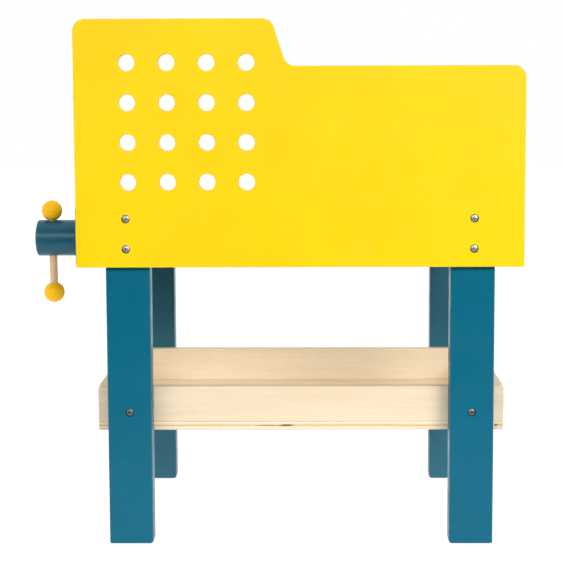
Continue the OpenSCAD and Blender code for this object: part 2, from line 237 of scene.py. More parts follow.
def add_lighting():
    """Three softboxes on the camera's side of the bench, in a white studio."""
    bpy.context.scene.view_settings.view_transform = "Standard"
    add_world()
    aim = (BENCH_X, 0.1, 0.35)
    add_softbox("softbox_rear", (BENCH_X, 3.6, 1.8), aim, 1.8, 0.7, 36)
    add_softbox("softbox_left", (BENCH_X + 1.3, 1.8, 1.0), aim, 1.1, 0.4, 12.5)
    add_softbox("softbox_right", (BENCH_X - 1.08, 1.75, 1.05), aim, 0.9, 0.4, 26)


# ---- Materials ----

class Look:
    """A material's node tree, with short ways to add nodes."""

    def __init__(self, name):
        self.material = bpy.data.materials.new(name)
        self.material.use_nodes = True
        self.tree = self.material.node_tree
        self.shader = self.tree.nodes["Principled BSDF"]
        self.place = self.node("ShaderNodeTexCoord").outputs["Object"]

    def set(self, **values):
        """Values of the shader's own sockets: an underscore stands for a space."""
        for name, value in values.items():
            self.shader.inputs[name.replace("_", " ")].default_value = value

    def feed(self, socket, source):
        """Links an output to one of the shader's own sockets."""
        self.tree.links.new(source, self.shader.inputs[socket])

    def node(self, kind, settings=None, **inputs):
        """A node with its settings. An input is named, or is _ and its number."""
        node = self.tree.nodes.new(kind)
        for name, value in (settings or {}).items():
            setattr(node, name, value)
        for name, value in inputs.items():
            socket = node.inputs[int(name[1:]) if name[0] == "_" else name]
            if isinstance(value, bpy.types.NodeSocket):
                self.tree.links.new(value, socket)
            else:
                socket.default_value = value
        return node

    def math(self, operation, a, b=0.0):
        """One sum on numbers, as the Math node names it."""
        return self.node("ShaderNodeMath", {"operation": operation}, _0=a, _1=b).outputs[0]

    def vector_math(self, operation, a, b=(0, 0, 0)):
        """One sum on vectors, as the Vector Math node names it."""
        node = self.node("ShaderNodeVectorMath", {"operation": operation}, _0=a, _1=b)
        return node.outputs["Value" if operation == "LENGTH" else "Vector"]

    def mapped(self, scale, offset=(0, 0, 0), vector=None):
        """Object coordinates, or the vector given, scaled and shifted."""
        return self.node("ShaderNodeMapping", Vector=vector or self.place, Scale=scale,
                         Location=offset).outputs[0]

    def noise(self, vector, scale, detail=2.0, roughness=0.5):
        """Fractal noise from 0 to 1, mostly near 0.5."""
        return self.node("ShaderNodeTexNoise", Vector=vector, Scale=scale, Detail=detail,
                         Roughness=roughness).outputs[0]

    def spread(self, value, low, high, new_low=0.0, new_high=1.0):
        """Maps low..high to new_low..new_high, smoothly and clamped."""
        return self.node("ShaderNodeMapRange", {"interpolation_type": "SMOOTHSTEP"},
                         _0=value, _1=low, _2=high, _3=new_low, _4=new_high).outputs[0]

    def mix(self, share, a, b):
        """The colour a with a share of the colour b."""
        return self.node("ShaderNodeMix", {"data_type": "RGBA"},
                         _0=share, _6=a, _7=b).outputs[2]

    def coordinate(self, axis, vector=None):
        """One coordinate of the object's space, or of the vector given."""
        split = self.node("ShaderNodeSeparateXYZ", _0=vector or self.place)
        return split.outputs[axis]

    def edge(self):
        """1 on the rounded rims of a board, 0 on its faces."""
        return self.node("ShaderNodeAttribute", {"attribute_name": "edge"}).outputs["Fac"]

    def bump(self, *layers):
        """Chains bumps, each a (height, depth in metres) pair, into the shader's normal."""
        normal = None
        for height, depth in layers:
            above = {"Normal": normal} if normal else {}
            normal = self.node("ShaderNodeBump", Height=height, Distance=depth, Strength=1.0,
                               **above).outputs[0]
        self.feed("Normal", normal)


def shade(colour, factor=1.0):
    """A socket's colour value: the colour made lighter or darker, no channel above 1."""
    return (*(min(1.0, c * factor) for c in colour), 1.0)


def towards(colour, other, share):
    """The colour that lies the given share of the way to another one."""
    return tuple(c + share * (o - c) for c, o in zip(colour, other))


def stretch(along, across, along_scale):
    """A mapping scale that draws a texture out along one axis, named X, Y or Z."""
    return tuple(along_scale if axis == along else across for axis in "XYZ")


def scattered(seed):
    """A different place in the noise for each seed."""
    return (3.1 * seed, 1.7 * seed, 2.3 * seed)


# Noise scales, in features a metre
BLOTCHES = 9.0
SMEARS = 30.0
STREAKS = 140.0
CHIPS = 150.0
ORANGE_PEEL = 420.0
PAINTED_FIBRES = 480.0
METAL_MOTTLE = 700.0
FIBRES = 900.0
PORES = 1500.0
TURNING_MARKS = 2500.0

YELLOW = (0.86, 0.56, 0.0005)
TEAL = (0.002, 0.112, 0.182)
# TEAL made lighter and greyer: painted light and sheen on the front legs, which stand in the
# bench's shade
PAINTED_LIGHT_TEAL = (0.028, 0.135, 0.2)
DARK_TEAL = (0.005, 0.098, 0.158)
ORANGE = (0.98, 0.535, 0.002)
BARE_WOOD = (0.62, 0.5, 0.33)


def paint(name, colour, seed, roughness=0.36, along=None, level=0.14, peel=0.03 * MM):
    """Satin paint: soft blotches of tone, a fine orange peel, paler rims that are partly chipped
    wear and partly a painted highlight along the rounded edges, and the wood's grain showing
    faintly through it where along names the grain's axis."""
    look = Look(name)
    offset = scattered(seed)
    blotch = look.noise(look.mapped((1, 1, 1), offset), BLOTCHES, 3.0)
    base = look.mix(look.spread(blotch, 0.3, 0.7), shade(colour, 0.97), shade(colour, 1.03))
    layers = [(look.noise(look.place, ORANGE_PEEL, 2.0), peel)]
    if along:
        fibres = look.noise(look.mapped(stretch(along, 1.0, 0.03), offset), PAINTED_FIBRES,
                            3.0, 0.6)
        base = look.mix(look.spread(fibres, 0.45, 0.75, 0.0, 0.22), base, shade(colour, 0.7))
        layers.append((fibres, 0.1 * MM))
    # Paler paint on the rims: chipped wear, and a painted highlight along the rounded edges
    chips = look.noise(look.mapped((1, 1, 1), offset), CHIPS, 4.0, 0.65)
    rim_wear_light_and_shade = look.math("MULTIPLY", look.edge(), look.spread(chips, 0.45, 0.7, 0.06, 0.4))
    base = look.mix(rim_wear_light_and_shade, base, shade(towards(colour, BARE_WOOD, 0.45)))
    look.feed("Base Color", base)
    smear = look.noise(look.mapped((1, 1, 1), offset), SMEARS, 3.0)
    look.feed("Roughness", look.spread(smear, 0.3, 0.7, roughness - 0.05, roughness + 0.07))
    look.set(Specular_IOR_Level=level)
    look.bump(*layers)
    return look.material


Wood = namedtuple("Wood", "light dark ring_gap contrast")
PALE_WOOD = Wood((0.78, 0.65, 0.475), (0.69, 0.54, 0.36), 5.5 * MM, 0.25)
# A paler copy of the pale wood: painted light on the tray's front rail and base, which lie in the
# bench's shade
PAINTED_LIGHT_WOOD = Wood((0.82, 0.7, 0.52), (0.75, 0.6, 0.41), 5.5 * MM, 0.2)
WORKTOP_WOOD = Wood((0.77, 0.58, 0.36), (0.6, 0.39, 0.19), 4 * MM, 0.6)
BEECH = Wood((0.83, 0.57, 0.32), (0.66, 0.41, 0.19), 3 * MM, 0.5)
WAVE_RATE = 20  # radians of the wave texture, for each unit of its scale and each metre
SWAY = 0.05  # metres that noise from 0 to 1 bends the grain by


def grain(look, place, wood, along, seed):
    """Clear wood as a solid texture: growth rings about a pith outside the board, fibres and
    pores drawn out along the grain, and slow changes of tone. Returns its colour, its rings,
    its fibres and its streaks."""
    offset = (0.09 + 0.37 * seed, 0.11 + 0.21 * seed, 0.07 + 0.29 * seed)
    placed = look.mapped((1, 1, 1), offset, place)
    sway = look.noise(look.mapped(stretch(along, 10.0, 2.6), vector=placed), 1.0, 2.5)
    sway = look.math("MULTIPLY", sway, SWAY)
    swayed = look.vector_math("ADD", placed,
                              look.node("ShaderNodeCombineXYZ", X=sway, Y=sway, Z=sway).outputs[0])
    rings = look.node("ShaderNodeTexWave",
                      {"wave_type": "RINGS", "rings_direction": along, "wave_profile": "SAW"},
                      Vector=swayed, Scale=2 * math.pi / (WAVE_RATE * wood.ring_gap),
                      Distortion=0.6, Detail=2.0).outputs["Fac"]
    fibres = look.noise(look.mapped(stretch(along, 1.0, 0.02), vector=placed), FIBRES, 3.0, 0.6)
    streaks = look.noise(look.mapped(stretch(along, 1.0, 0.035), vector=placed), STREAKS, 3.0)
    tone = look.noise(look.mapped(stretch(along, 8.0, 2.0), vector=placed), 1.0, 2.0)
    total = look.math("MULTIPLY", rings, 0.5 * wood.contrast)
    for layer, share in ((look.spread(streaks, 0.3, 0.7), 0.4), (fibres, 0.25),
                         (look.spread(tone, 0.35, 0.65), 0.35)):
        total = look.math("ADD", total, look.math("MULTIPLY", layer, share))
    colour = look.mix(look.spread(total, 0.2, 1.2), shade(wood.light), shade(wood.dark))
    pores = look.noise(look.mapped(stretch(along, 1.0, 0.05), vector=placed), PORES, 1.0)
    colour = look.mix(look.spread(pores, 0.6, 0.72, 0.0, 0.3), colour, shade(wood.dark, 0.75))
    return colour, rings, fibres, streaks


def varnish(look, colour, rings, fibres, streaks, wood, roughness=0.42):
    """Ends a wood material with a clear satin lacquer, darker along its rims: partly wear, partly
    painted shade in the grooves where boards meet.
    """
    # Darker rims: wear, and painted shade in the grooves between boards
    rim_wear_light_and_shade = look.math("MULTIPLY", look.edge(), look.spread(streaks, 0.3, 0.8, 0.25, 0.6))
    look.feed("Base Color", look.mix(rim_wear_light_and_shade, colour, shade(wood.dark, 0.6)))
    look.feed("Roughness", look.spread(streaks, 0.3, 0.7, roughness - 0.06, roughness + 0.08))
    look.set(Specular_IOR_Level=0.4)
    look.bump((fibres, 0.05 * MM), (rings, 0.03 * MM))
    return look.material


def timber(name, wood, along, seed):
    """A single piece of wood, lacquered, with its grain along an axis."""
    look = Look(name)
    return varnish(look, *grain(look, look.place, wood, along, seed), wood)


STRIP_W = 62 * MM
JOINT_HALF_W = 0.25 * MM


def glued_boards(name, wood, along, across, width, seed):
    """A board glued up from strips, each with its own grain and tone, with fine joints."""
    look = Look(name)
    lanes = look.math("DIVIDE", look.coordinate(across), width)
    lane = look.math("FLOOR", lanes)
    shift = look.node("ShaderNodeCombineXYZ", X=look.math("MULTIPLY", lane, 1.37),
                      Y=look.math("MULTIPLY", lane, 0.61), Z=look.math("MULTIPLY", lane, 0.83))
    place = look.vector_math("ADD", look.place, shift.outputs[0])
    colour, rings, fibres, streaks = grain(look, place, wood, along, seed)
    chance = look.node("ShaderNodeTexWhiteNoise", {"noise_dimensions": "1D"}, W=lane).outputs[0]
    colour = look.mix(look.math("MULTIPLY", chance, 0.35), colour, shade(wood.dark, 1.05))
    edge_distance = look.math("PINGPONG", lanes, 0.5)
    joint = look.spread(edge_distance, 0.0, JOINT_HALF_W / width, 0.55, 0.0)
    colour = look.mix(joint, colour, shade(wood.dark, 0.5))
    return varnish(look, colour, rings, fibres, streaks, wood)


# Heights in the plywood, from its underside
PLY_MIDDLE = 6 * MM
# From here up the top ply turns paler: its face veneer, and painted light on the tray's shaded
# floor
VENEER_AND_LIGHT_LOW, VENEER_AND_LIGHT_FULL = 8.8 * MM, 9.6 * MM
PLY_WANDER = 1.2 * MM
PLY_HALF_CORE, PLY_HALF_FADE = 0.5 * MM, 1.1 * MM
KNOT_BROWN = (0.48, 0.26, 0.09)
KNOT_DARK = (0.19, 0.075, 0.018)
# Knots in the middle ply: place from the bench's middle, half length, half height, strength
KNOTS = ((17 * MM, 11 * MM, 1.7 * MM, 1.0), (38 * MM, 16 * MM, 1.2 * MM, 0.5),
         (-229 * MM, 2.4 * MM, 1.8 * MM, 1.0))


def plywood(name, wood, low, seed):
    """Three plies, the top one paler: partly its face veneer, partly painted light on the tray's
    floor, which lies in shade. The middle one shows its darker end grain and its knots on the
    edges. Darker brown rims are painted shade in the groove where the base meets the rails."""
    look = Look(name)
    colour, rings, fibres, streaks = grain(look, look.place, wood, "X", seed)
    height = look.math("SUBTRACT", look.coordinate(2), low)
    wander = look.math("MULTIPLY", look.noise(look.mapped((14, 14, 0)), 1.0), PLY_WANDER)
    height = look.math("ADD", height, wander)
    off_middle = look.math("ABSOLUTE", look.math("SUBTRACT", height, PLY_MIDDLE))
    core = look.spread(off_middle, PLY_HALF_CORE, PLY_HALF_FADE, 1.0, 0.0)
    speckle = look.noise(look.mapped((420, 420, 900)), 1.0, 2.0)
    tint = look.mix(look.spread(speckle, 0.3, 0.7), shade(KNOT_BROWN, 1.5), shade(KNOT_BROWN))
    colour = look.mix(look.math("MULTIPLY", core, 0.8), colour, tint)
    # Paler top ply: veneer, and painted light on the shaded tray floor
    veneer_and_light = look.spread(height, VENEER_AND_LIGHT_LOW, VENEER_AND_LIGHT_FULL, 0.0, 0.9)
    colour = look.mix(veneer_and_light, colour, shade(wood.light, 1.15))
    # Darker brown rims: painted shade in the groove where the base meets the rails
    colour = look.mix(look.math("MULTIPLY", look.edge(), 0.7), colour, shade(KNOT_BROWN))
    for x, half_length, half_height, strength in KNOTS:
        along = look.math("DIVIDE", look.math("SUBTRACT", look.coordinate(0), BENCH_X + x),
                          half_length)
        across = look.math("DIVIDE", look.math("SUBTRACT", height, PLY_MIDDLE), half_height)
        place = look.node("ShaderNodeCombineXYZ", X=along, Y=across).outputs[0]
        distance = look.vector_math("LENGTH", place)
        colour = look.mix(look.spread(distance, 0.35, 1.1, strength, 0.0), colour,
                          shade(KNOT_DARK))
    return varnish(look, colour, rings, fibres, streaks, wood)


ZINC_DARK = (0.36, 0.36, 0.35)
ZINC_LIGHT = (0.52, 0.52, 0.51)


def steel(name, tone=1.0):
    """Zinc-plated steel, turned, with a faint mottle."""
    look = Look(name)
    mottle = look.noise(look.place, METAL_MOTTLE, 3.0, 0.6)
    look.feed("Base Color", look.mix(look.spread(mottle, 0.3, 0.7),
                                     shade(ZINC_DARK, tone), shade(ZINC_LIGHT, tone)))
    look.feed("Roughness", look.spread(mottle, 0.3, 0.7, 0.38, 0.5))
    look.set(Metallic=1.0)
    look.bump((look.noise(look.place, TURNING_MARKS, 2.0), 0.01 * MM))
    return look.material


# ---- Outlines, in the plane of a board ----

ARC_STEPS = 10


def arc(x, y, radius, start, end, steps=ARC_STEPS):
    """Points along an arc, its angles in radians."""
    return [(x + radius * math.cos(start + (end - start) * i / steps),
             y + radius * math.sin(start + (end - start) * i / steps)) for i in range(steps + 1)]


def circle(x, y, radius, steps=64):
    """A closed outline: its last point isn't its first one again."""
    return arc(x, y, radius, 0, 4 * QUARTER * (steps - 1) / steps, steps - 1)


def rounded(x0, y0, x1, y1, radii):
    """A rectangle with four corner radii, from the lower left one counter-clockwise."""
    a, b, c, d = radii
    return (arc(x0 + a, y0 + a, a, 2 * QUARTER, 3 * QUARTER)
            + arc(x1 - b, y0 + b, b, 3 * QUARTER, 4 * QUARTER)
            + arc(x1 - c, y1 - c, c, 0, QUARTER)
            + arc(x0 + d, y1 - d, d, QUARTER, 2 * QUARTER))


def panel_outline(corner):
    """The tool panel in X and Z: square at the bottom, with a leaning step in its top edge."""
    (x0, x1), (z0, z1) = span("back_panel", 0), span("back_panel", 2)
    r = PANEL_R
    reach = r * math.tan((QUARTER - STEP_LEAN) / 2)
    foot_x = BENCH_X + STEP_X
    brow_x = foot_x + (z1 - PANEL_LOW_TOP) * math.tan(STEP_LEAN)
    return (arc(x0 + corner, z0 + corner, corner, 2 * QUARTER, 3 * QUARTER)
            + arc(x1 - corner, z0 + corner, corner, 3 * QUARTER, 4 * QUARTER)
            + arc(x1 - r, z1 - r, r, 0, QUARTER)
            + arc(brow_x + reach, z1 - r, r, QUARTER, 2 * QUARTER - STEP_LEAN)
            + arc(foot_x - reach, PANEL_LOW_TOP + r, r, -STEP_LEAN, -QUARTER)
            + arc(x0 + r, PANEL_LOW_TOP - r, r, QUARTER, 2 * QUARTER))


def peg_circles():
    """The outlines of the panel's peg holes, in X and Z."""
    return [circle(BENCH_X + PEG_REACH - column * PEG_PITCH, PEG_TOP_Z - row * PEG_PITCH, PEG_R)
            for column in range(PEG_COUNT) for row in range(PEG_COUNT)]


def guide_rod_places():
    """The middles of the vise's two guide rods, in Y and Z."""
    return [(VISE_Y + side * GUIDE_REACH, VISE_Z) for side in SIDES]


# ---- Solids ----

PLANES = {"XY": (0, 1, 2), "XZ": (0, 2, 1), "YZ": (1, 2, 0)}


def slab(plane, outline, low, high, bevel, holes=()):
    """A board cut to an outline in a plane, from low to high across it, with holes, and with
    every rim rounded to the bevel's radius."""
    curve = bpy.data.curves.new("outline", "CURVE")
    curve.dimensions = "2D"
    curve.fill_mode = "BOTH"
    for loop in (outline, *holes):
        spline = curve.splines.new("POLY")
        spline.points.add(len(loop) - 1)
        for point, place in zip(spline.points, loop):
            point.co = (*place, 0, 1)
        spline.use_cyclic_u = True
    curve.extrude = (high - low) / 2 - bevel
    curve.bevel_depth = bevel
    curve.bevel_resolution = 3
    curve.offset = -bevel
    holder = bpy.data.objects.new("outline", curve)
    bpy.context.collection.objects.link(holder)
    depsgraph = bpy.context.evaluated_depsgraph_get()
    mesh = bpy.data.meshes.new_from_object(holder.evaluated_get(depsgraph), depsgraph=depsgraph)
    bm = bmesh.new()
    bm.from_mesh(mesh)
    bpy.data.objects.remove(holder)
    bpy.data.curves.remove(curve)
    bpy.data.meshes.remove(mesh)
    bmesh.ops.remove_doubles(bm, verts=bm.verts, dist=1e-6)
    i, j, k = PLANES[plane]
    for vert in bm.verts:
        place = [0, 0, 0]
        place[i], place[j], place[k] = vert.co.x, vert.co.y, (low + high) / 2 + vert.co.z
        vert.co = place
    return bm


def join_rings(bm, rings):
    """Skins rings of equally many points; a ring of one point is a pole. Flat caps close it."""
    count = max(len(ring) for ring in rings)
    for lower, upper in zip(rings, rings[1:]):
        for i in range(count):
            j = (i + 1) % count
            corners = [lower[i % len(lower)], lower[j % len(lower)],
                       upper[j % len(upper)], upper[i % len(upper)]]
            kept = [v for n, v in enumerate(corners) if v not in corners[:n]]
            if len(kept) > 2:
                bm.faces.new(kept)
    for ring in (rings[0], rings[-1]):
        if len(ring) > 1:
            bm.faces.new(ring)


def turn(bm, profile, place=Matrix(), segments=64):
    """Turns a profile of (radius, height) points about the place's Z axis. A radius may be a
    function of the angle."""
    rings = []
    for radius, height in profile:
        if radius == 0:
            rings.append([bm.verts.new(place @ Vector((0, 0, height)))])
            continue
        ring = []
        for i in range(segments):
            angle = 4 * QUARTER * i / segments
            r = radius(angle) if callable(radius) else radius
            ring.append(bm.verts.new(
                place @ Vector((r * math.cos(angle), r * math.sin(angle), height))))
        rings.append(ring)
    join_rings(bm, rings)


def rounded_end(radius, height, corner, up, steps=6):
    """Profile points round a turned piece's end corner: up is 1 at its upper end, -1 below."""
    points = [(x, height + up * (y - corner))
              for x, y in arc(radius - corner, 0, corner, 0, QUARTER, steps)]
    return points if up > 0 else points[::-1]


def rod(bm, radius, low, high, corner, place):
    """A plain rod along the place's Z axis, with rounded ends."""
    turn(bm, [(0, low)] + rounded_end(radius, low, corner, -1)
         + rounded_end(radius, high, corner, 1) + [(0, high)], place)


def facing(direction, place):
    """A matrix that puts Z along a direction, at a place."""
    turned = Vector(direction).to_track_quat("Z", "Y").to_matrix().to_4x4()
    return Matrix.Translation(place) @ turned


def along_x(place):
    """A matrix that puts Z along +X, with angles turning from +Y to +Z, at a place."""
    axes = Matrix(((0, 0, 1, 0), (1, 0, 0, 0), (0, 1, 0, 0), (0, 0, 0, 1)))
    return Matrix.Translation(place) @ axes


def solid(name, bm):
    """An object from a mesh in the making."""
    bmesh.ops.recalc_face_normals(bm, faces=bm.faces)
    mesh = bpy.data.meshes.new(name)
    bm.to_mesh(mesh)
    bm.free()
    piece = bpy.data.objects.new(name, mesh)
    bpy.context.collection.objects.link(piece)
    return piece


def cut(piece, cutter_bm):
    """Takes a closed mesh out of a piece."""
    cutter = solid("cutter", cutter_bm)
    boolean = piece.modifiers.new("cut", "BOOLEAN")
    boolean.operation = "DIFFERENCE"
    boolean.solver = "EXACT"
    boolean.object = cutter
    depsgraph = bpy.context.evaluated_depsgraph_get()
    mesh = bpy.data.meshes.new_from_object(piece.evaluated_get(depsgraph), depsgraph=depsgraph)
    piece.modifiers.remove(boolean)
    piece.data = mesh
    bpy.data.objects.remove(cutter)


def dress(piece, material, node, body, edge_axis=None, sharp=40):
    """Gives a piece its shading and material, and puts it in its CAD node's place. The point
    attribute edge is 1 on the rims between the faces across edge_axis and the sides."""
    mesh = piece.data
    if edge_axis is not None:
        bm = bmesh.new()
        bm.from_mesh(mesh)
        edge = bm.verts.layers.float.new("edge")
        for vert in bm.verts:
            lifts = [abs(face.normal[edge_axis]) for face in vert.link_faces]
            vert[edge] = float(all(0.05 < lift < 0.95 for lift in lifts))
        bm.to_mesh(mesh)
        bm.free()
    mesh.shade_smooth()
    mesh.set_sharp_from_angle(angle=math.radians(sharp))
    mesh.materials.clear()
    mesh.materials.append(material)
    normals = piece.modifiers.new("flat_faces", "WEIGHTED_NORMAL")
    normals.keep_sharp = True
    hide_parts(node)
    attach(piece, body)


# ---- Screws ----

REAR, FRONT, DOWN, INWARD = (0, 1, 0), (0, -1, 0), (0, 0, -1), (-1, 0, 0)


def screw_places():
    """Every node's kind of screw, with each screw's place on the surface and the way it faces."""
    legs = [BENCH_X + side * LEG_REACH for side in SIDES]
    rails = [middle(node, 1) for node in ("tray_rear_rail", "tray_front_rail")]
    ends = [middle(node, 0) for node in ("tray_end_left", "tray_end_right")]
    block_low, block_high = span("vise_block", 2)
    return {
        "panel_screws": (FRAME_SCREW, [((x, PANEL_REAR_Y, z), REAR)
                                       for x in legs for z in (WORKTOP_MID_Z, LOWER_SCREW_Z)]),
        "front_leg_screws": (FRAME_SCREW, [((x, LEG_FRONT_Y, LOWER_SCREW_Z), FRONT)
                                           for x in legs]),
        "tray_screws": (TRAY_SCREW, [((x, y, TRAY_MID_Z), way) for x in legs
                                     for y, way in ((LEG_REAR_Y, REAR), (LEG_FRONT_Y, FRONT))]),
        "tray_base_screws": (BASE_SCREW, [((BENCH_X + x, y, TRAY_LOW), DOWN)
                                          for x in BASE_SCREW_XS for y in rails]
                             + [((x, middle("tray_base", 1), TRAY_LOW), DOWN) for x in ends]),
        "vise_block_screws": (BLOCK_SCREW, [
            ((APRON_INNER_X, VISE_Y + side * BLOCK_SCREW_REACH, z), INWARD) for side in SIDES
            for z in (block_low + BLOCK_SCREW_INSET, block_high - BLOCK_SCREW_INSET)]),
    }


SCREWS = screw_places()


def counterbores(node):
    """One mesh of all the counterbores that lie in a board, with eased rims."""
    low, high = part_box(node)
    bm = bmesh.new()
    for kind, places in SCREWS.values():
        for place, way in places:
            if all(a - MM < p < b + MM for a, p, b in zip(low, place, high)):
                radius, floor = kind.head_r + BORE_RIM, -kind.head_h - SCREW_RECESS
                turn(bm, [(0, floor), (radius, floor), (radius, -BORE_EASE),
                          (radius + BORE_EASE, 0), (radius + 2 * BORE_EASE, BORE_EASE),
                          (0, BORE_EASE)], facing(way, place), 32)
    return bm


def cross_recess(bm, place, reach, depth):
    """A tapered cross, for taking out of a screw's head."""
    rings = []
    for scale, height in ((1.0, 1 * MM), (1.0, 0), (RECESS_TAPER, -depth)):
        arm, half = reach * scale, 0.25 * reach * (0.4 + 0.6 * scale)
        ring = []
        for quarter in range(4):
            spin = Matrix.Rotation(quarter * QUARTER, 4, "Z")
            for x, y in ((arm, -half), (arm, half), (half, half)):
                ring.append(bm.verts.new(place @ spin @ Vector((x, y, height))))
        rings.append(ring)
    join_rings(bm, rings)


def head_dome(radius):
    """A screw head's shallow dome: 0.3 mm up in its middle, 0.7 mm down at its rim."""
    shares = [step / DOME_STEPS for step in range(DOME_STEPS + 1)]
    return [(radius * share, (0.3 - 0.1 * share ** 2 - 0.9 * share ** 3) * MM)
            for share in shares]


def add_screws():
    """The screws of each node as one piece, each turned a little further than the one before."""
    # The second steel is the same zinc at 0.4 of its tone: painted shade for the tray screws in
    # the legs' recesses
    bright, dark = steel("bright_zinc"), steel("painted_shade_zinc", 0.4)
    for node, (kind, places) in SCREWS.items():
        bm, recesses = bmesh.new(), bmesh.new()
        r = kind.head_r
        for number, (spot, way) in enumerate(places):
            place = facing(way, spot) @ Matrix.Translation((0, 0, -SCREW_RECESS))
            place = place @ Matrix.Rotation(math.radians(SCREW_TWIST * number), 4, "Z")
            turn(bm, head_dome(r)
                 + [(r, -kind.head_h), (kind.shank_r, -kind.head_h),
                    (kind.shank_r, POINT_LENGTH * kind.shank_r - kind.length),
                    (0, -kind.length)], place, 32)
            cross_recess(recesses, place, RECESS_REACH * r, RECESS_DEPTH * r)
        piece = solid(node + "_piece", bm)
        cut(piece, recesses)
        # The tray screws take the darker zinc: painted shade
        dress(piece, dark if node == "tray_screws" else bright, node, "bench", sharp=30)


# ---- Boards ----

def board(node, plane, bevel, material, outline=None, radii=None, holes=(), body="bench",
          extra_cut=None):
    """Stands for a CAD board with one of the same size that has rounded rims and eased holes."""
    i, j, across = PLANES[plane]
    (x0, x1), (y0, y1) = span(node, i), span(node, j)
    outline = outline or rounded(x0, y0, x1, y1, radii or (bevel,) * 4)
    piece = solid(node + "_piece", slab(plane, outline, *span(node, across), bevel, holes))
    bores = counterbores(node)
    if len(bores.verts):
        cut(piece, bores)
    if extra_cut:
        cut(piece, extra_cut)
    dress(piece, material, node, body, across)


def add_leg(node, side, seed):
    """A leg whose long edges and foot are rounded; its top end is square, below the worktop."""
    (x0, x1), (z0, z1) = span(node, 0), span(node, 2)
    foot = (LEG_EDGE, FOOT_INNER_R) if side < 0 else (FOOT_INNER_R, LEG_EDGE)
    outline = rounded(x0, z0, x1, z1 + 2 * LEG_EDGE, (*foot, LEG_EDGE, LEG_EDGE))
    bm = slab("XZ", outline, *span(node, 1), LEG_EDGE)
    geometry = bm.verts[:] + bm.edges[:] + bm.faces[:]
    bmesh.ops.bisect_plane(bm, geom=geometry, plane_co=(0, 0, z1), plane_no=(0, 0, 1),
                           clear_outer=True)
    bmesh.ops.holes_fill(bm, edges=[edge for edge in bm.edges if edge.is_boundary])
    piece = solid(node + "_piece", bm)
    cut(piece, counterbores(node))
    # The front legs take the lighter, greyer teal: painted light and sheen
    colour = TEAL if "rear" in node else PAINTED_LIGHT_TEAL
    dress(piece, paint(node + "_paint", colour, seed, 0.3, "Z", 0.16), node, "bench", 1)


def add_bench_boards():
    """The tool panel, the legs, the worktop and the three aprons under it."""
    board("back_panel", "XZ", PANEL_RIM, paint("yellow_paint", YELLOW, 1, 0.4, level=0.22),
          outline=panel_outline(PANEL_RIM), holes=peg_circles())
    for seed, (end, side) in enumerate((("rear", -1), ("rear", 1), ("front", -1), ("front", 1))):
        add_leg(f"{end}_leg_{'left' if side < 0 else 'right'}", side, 5 + seed)
    board("worktop", "XY", WORKTOP_RIM,
          glued_boards("worktop_wood", WORKTOP_WOOD, "X", 1, STRIP_W, 2),
          radii=(WORKTOP_R, WORKTOP_R, WORKTOP_RIM, WORKTOP_RIM))
    apron = paint("apron_paint", TEAL, 12, 0.3, "X")
    side_apron = paint("side_apron_paint", TEAL, 13, 0.3, "Y")
    board("front_apron", "XZ", APRON_RIM, apron)
    board("side_apron_left", "YZ", APRON_RIM, side_apron)
    guides = [circle(y, z, GUIDE_HOLE_R, 48) for y, z in guide_rod_places()]
    board("side_apron_right", "YZ", APRON_RIM, side_apron,
          holes=[circle(VISE_Y, VISE_Z, SCREW_CLEARANCE_R), *guides])


def add_tray():
    """The tray between the legs: two long rails, two ends and a plywood base."""
    # The front rail and the base take the paler wood: painted light for their shade
    for seed, (node, wood) in enumerate((("tray_rear_rail", PALE_WOOD),
                                         ("tray_front_rail", PAINTED_LIGHT_WOOD))):
        board(node, "XZ", TRAY_RIM, timber(node + "_wood", wood, "X", 1 + seed),
              radii=(TRAY_RIM, TRAY_RIM, RAIL_R, RAIL_R))
    for seed, node in enumerate(("tray_end_left", "tray_end_right")):
        board(node, "YZ", TRAY_RIM, timber(node + "_wood", PALE_WOOD, "Y", 3 + seed))
    board("tray_base", "XY", BASE_RIM, plywood("tray_plywood", PAINTED_LIGHT_WOOD, TRAY_LOW, 6),
          radii=(BASE_R,) * 4)


# ---- Vise ----

def thread_radius(x, gap=0.0):
    """The radius of the thread at a distance x along it, as a function of the angle: a helical
    ridge with eased crests, which turns right-handed and grows by gap."""
    core = THREAD_R - THREAD_DEPTH + gap

    def radius(angle):
        turns = x / THREAD_PITCH - angle / (4 * QUARTER)
        off_crest = abs((turns + 0.5) % 1 - 0.5) * THREAD_PITCH
        slope = THREAD_HALF_ROOT - THREAD_HALF_CREST
        rise = min(1, max(0, (THREAD_HALF_ROOT + gap - off_crest) / slope))
        return core + THREAD_DEPTH * rise * rise * (3 - 2 * rise)

    return radius


